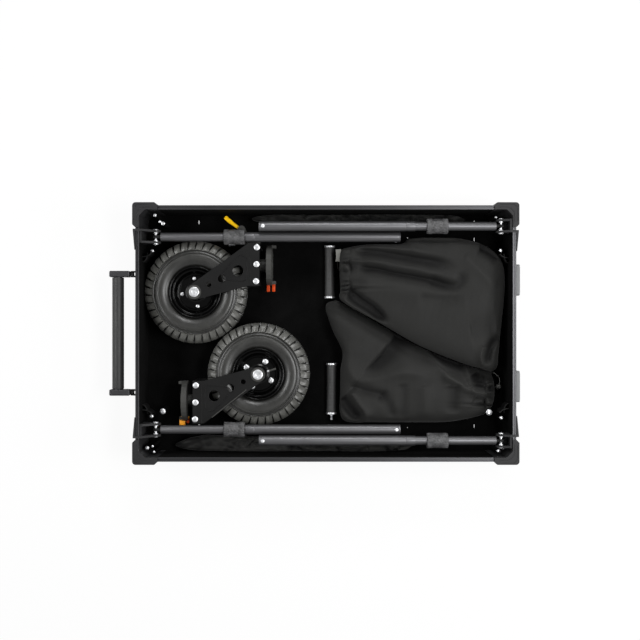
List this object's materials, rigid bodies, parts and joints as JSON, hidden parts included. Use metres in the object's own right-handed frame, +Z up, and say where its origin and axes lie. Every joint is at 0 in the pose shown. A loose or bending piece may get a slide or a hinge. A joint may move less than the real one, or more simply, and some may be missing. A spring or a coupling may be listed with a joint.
{
  "type": "folded camera workstation cart",
  "caption": "Wheeled camera workstation cart folded flat: an open tray holding its telescoping posts, casters, drawstring bags and loose hand grips.",
  "frame": {"origin": "middle of the tray's underside, on the floor panel", "axes": "+X towards the end with the stand-up feet, +Y towards the rear side rail, +Z up out of the tray's mouth"},
  "size_m": [1.0029, 0.63, 0.1533],
  "materials": {
    "anodised": "satin black anodised, fine brushed",
    "cast": "textured black powder coat on cast aluminium",
    "panel": "matte black laminate",
    "carpet": "short black carpet pile",
    "bright_steel": "zinc plated, satin",
    "black_steel": "semi-gloss black powder coat",
    "tyre": "matte tyre rubber",
    "grip": "ribbed matte rubber",
    "foot": "matte grey nylon",
    "brake_yellow": "yellow powder coat",
    "release_orange": "matte orange nylon",
    "bag": "matte black woven nylon",
    "cord": "black braided nylon"
  },
  "bodies": {
    "tray": {"side_rail_front": "anodised", "side_rail_rear": "anodised", "end_rail_left": "anodised", "end_rail_right": "anodised", "floor_panel": "panel", "floor_carpet": "carpet", "corner_casting_front_left": "cast", "corner_casting_front_right": "cast", "corner_casting_rear_left": "cast", "corner_casting_rear_right": "cast", "pivot_bracket_front_left": "cast", "pivot_bracket_front_right": "cast", "pivot_bracket_rear_left": "cast", "pivot_bracket_rear_right": "cast", "pivot_pin_front_left": "bright_steel", "pivot_pin_front_right": "bright_steel", "pivot_pin_rear_left": "bright_steel", "pivot_pin_rear_right": "bright_steel", "end_foot_front": "foot", "end_foot_rear": "foot", "handle_hinge_front": "black_steel", "handle_hinge_rear": "black_steel", "rear_caster_fork": "black_steel", "rear_caster_axle": "bright_steel", "front_caster_fork": "black_steel", "front_caster_axle": "bright_steel", "brake_bracket": "black_steel", "rear_folded_pouch": "bag", "front_folded_pouch": "bag"},
    "handle": {"handle_frame": "anodised", "handle_grip": "grip"},
    "post_front_left": {"post_tube_front_left": "anodised"},
    "sleeve_front_left": {"post_sleeve_front_left": "anodised"},
    "collar_front_left": {"post_collar_front_left": "cast"},
    "post_front_right": {"post_tube_front_right": "anodised"},
    "sleeve_front_right": {"post_sleeve_front_right": "anodised"},
    "collar_front_right": {"post_collar_front_right": "cast"},
    "post_rear_left": {"post_tube_rear_left": "anodised"},
    "sleeve_rear_left": {"post_sleeve_rear_left": "anodised"},
    "collar_rear_left": {"post_collar_rear_left": "cast"},
    "post_rear_right": {"post_tube_rear_right": "anodised"},
    "sleeve_rear_right": {"post_sleeve_rear_right": "anodised"},
    "collar_rear_right": {"post_collar_rear_right": "cast"},
    "rear_wheel": {"rear_caster_rim": "black_steel", "rear_caster_tyre": "tyre"},
    "rear_swivel": {"rear_caster_swivel_plate": "black_steel"},
    "rear_release": {"rear_caster_release_tab": "release_orange"},
    "front_wheel": {"front_caster_rim": "black_steel", "front_caster_tyre": "tyre"},
    "front_swivel": {"front_caster_swivel_plate": "black_steel"},
    "front_release": {"front_caster_release_tab": "release_orange"},
    "brake_pedal": {"brake_lever": "brake_yellow"},
    "rear_bag": {"rear_drawstring_bag": "bag", "rear_bag_cord": "cord"},
    "front_bag": {"front_drawstring_bag": "bag", "front_bag_cord": "cord", "drawstring_toggle": "cord"},
    "rear_grip": {"rear_hand_grip": "grip"},
    "front_grip": {"front_hand_grip": "grip"}
  },
  "joints": [
    {"name": "handle_fold", "type": "hinge", "parent": "tray", "child": "handle", "pos_m": [-0.4725, 0, 0.1], "axis": [0, -1, 0], "range_deg": [0, 90]},
    {"name": "post_front_left_fold", "type": "hinge", "parent": "tray", "child": "post_front_left", "pos_m": [-0.415, -0.235, 0.108], "axis": [0, -1, 0], "range_deg": [0, 90]},
    {"name": "post_front_left_extend", "type": "slide", "parent": "post_front_left", "child": "sleeve_front_left", "axis": [1, 0, 0], "range_m": [0, 0.21]},
    {"name": "post_front_left_collar_slide", "type": "slide", "parent": "post_front_left", "child": "collar_front_left", "axis": [1, 0, 0], "range_m": [-0.045, 0]},
    {"name": "post_front_right_fold", "type": "hinge", "parent": "tray", "child": "post_front_right", "pos_m": [0.4246, -0.2595, 0.1275], "axis": [0, 1, 0], "range_deg": [0, 90]},
    {"name": "post_front_right_extend", "type": "slide", "parent": "post_front_right", "child": "sleeve_front_right", "axis": [-1, 0, 0], "range_m": [0, 0.22]},
    {"name": "post_front_right_collar_slide", "type": "slide", "parent": "post_front_right", "child": "collar_front_right", "axis": [-1, 0, 0], "range_m": [-0.09, 0.027]},
    {"name": "post_rear_left_fold", "type": "hinge", "parent": "tray", "child": "post_rear_left", "pos_m": [-0.415, 0.235, 0.108], "axis": [0, -1, 0], "range_deg": [0, 90]},
    {"name": "post_rear_left_extend", "type": "slide", "parent": "post_rear_left", "child": "sleeve_rear_left", "axis": [1, 0, 0], "range_m": [0, 0.21]},
    {"name": "post_rear_left_collar_slide", "type": "slide", "parent": "post_rear_left", "child": "collar_rear_left", "axis": [1, 0, 0], "range_m": [-0.12, 0]},
    {"name": "post_rear_right_fold", "type": "hinge", "parent": "tray", "child": "post_rear_right", "pos_m": [0.4246, 0.2595, 0.1275], "axis": [0, 1, 0], "range_deg": [0, 90]},
    {"name": "post_rear_right_extend", "type": "slide", "parent": "post_rear_right", "child": "sleeve_rear_right", "axis": [-1, 0, 0], "range_m": [0, 0.22]},
    {"name": "post_rear_right_collar_slide", "type": "slide", "parent": "post_rear_right", "child": "collar_rear_right", "axis": [-1, 0, 0], "range_m": [-0.09, 0.027]},
    {"name": "rear_wheel_spin", "type": "hinge", "parent": "tray", "child": "rear_wheel", "pos_m": [-0.3206, 0.1008, 0.0666], "axis": [0, 0, 1], "continuous": true},
    {"name": "rear_caster_swivel", "type": "hinge", "parent": "tray", "child": "rear_swivel", "pos_m": [-0.1616, 0.1678, 0.0666], "axis": [1, 0, 0], "range_deg": [-220, 40]},
    {"name": "rear_release_flip", "type": "hinge", "parent": "rear_swivel", "child": "rear_release", "pos_m": [-0.1276, 0.1248, 0.0666], "axis": [0, 0, 1], "range_deg": [0, 50]},
    {"name": "front_wheel_spin", "type": "hinge", "parent": "tray", "child": "front_wheel", "pos_m": [-0.16527, -0.1008, 0.0666], "axis": [0, 0, 1], "continuous": true},
    {"name": "front_caster_swivel", "type": "hinge", "parent": "tray", "child": "front_swivel", "pos_m": [-0.32427, -0.1678, 0.0666], "axis": [1, 0, 0], "range_deg": [-220, 40]},
    {"name": "front_release_flip", "type": "hinge", "parent": "front_swivel", "child": "front_release", "pos_m": [-0.35827, -0.2108, 0.0666], "axis": [0, 0, -1], "range_deg": [0, 50]},
    {"name": "brake_press", "type": "hinge", "parent": "tray", "child": "brake_pedal", "pos_m": [-0.2076, 0.2558, 0.0666], "axis": [0, 0, 1], "range_deg": [0, 25]},
    {"name": "rear_bag_lift_out", "type": "slide", "parent": "tray", "child": "rear_bag", "axis": [0, 0, 1], "range_m": [0, 0.25]},
    {"name": "front_bag_lift_out", "type": "slide", "parent": "tray", "child": "front_bag", "axis": [0, 0, 1], "range_m": [0, 0.25]},
    {"name": "rear_grip_lift_out", "type": "slide", "parent": "tray", "child": "rear_grip", "axis": [0, 0, 1], "range_m": [0, 0.2]},
    {"name": "front_grip_lift_out", "type": "slide", "parent": "tray", "child": "front_grip", "axis": [0, 0, 1], "range_m": [0, 0.2]}
  ]
}
